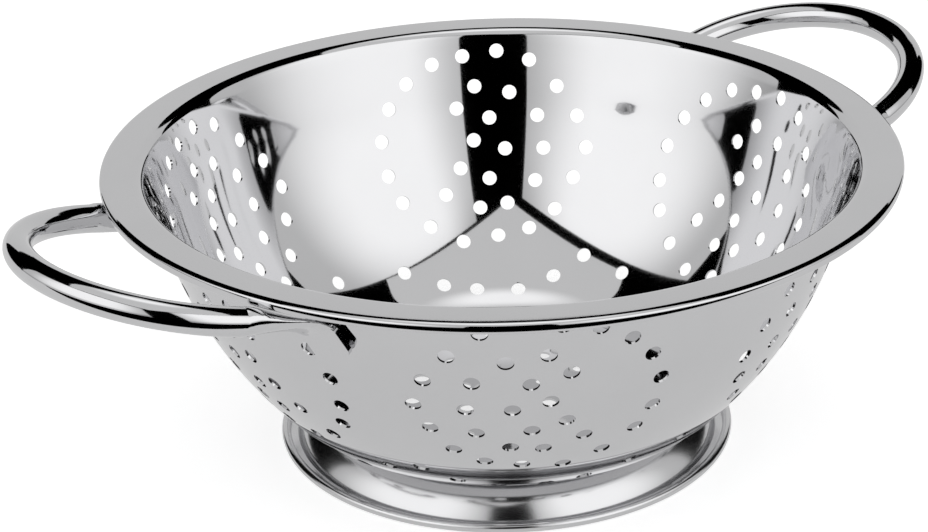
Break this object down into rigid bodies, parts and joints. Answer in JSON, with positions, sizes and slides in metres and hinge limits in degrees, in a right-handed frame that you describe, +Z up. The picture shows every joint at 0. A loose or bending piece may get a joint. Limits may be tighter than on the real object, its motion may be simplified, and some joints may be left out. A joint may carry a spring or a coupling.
{
  "type": "footed colander",
  "caption": "Perforated steel bowl with a rolled rim on a flared foot ring, with two bent-tube handles welded under the rim, for draining food.",
  "frame": {"origin": "on the table, in the middle of the foot ring and of the whole object seen from above", "axes": "+Z up along the bowl's axis, +X towards the right-hand handle"},
  "size_m": [0.3705, 0.28, 0.1167],
  "materials": {
    "bowl_steel": "mirror polished stainless steel",
    "foot_steel": "mirror polished stainless steel",
    "tube_steel": "mirror polished stainless steel tube",
    "weld_steel": "fused steel"
  },
  "bodies": {
    "root": {"bowl": "bowl_steel", "foot_ring": "foot_steel", "foot_spot_welds": "weld_steel", "handle_left": "tube_steel", "handle_left_spot_welds": "weld_steel", "handle_right": "tube_steel", "handle_right_spot_welds": "weld_steel"}
  },
  "joints": []
}
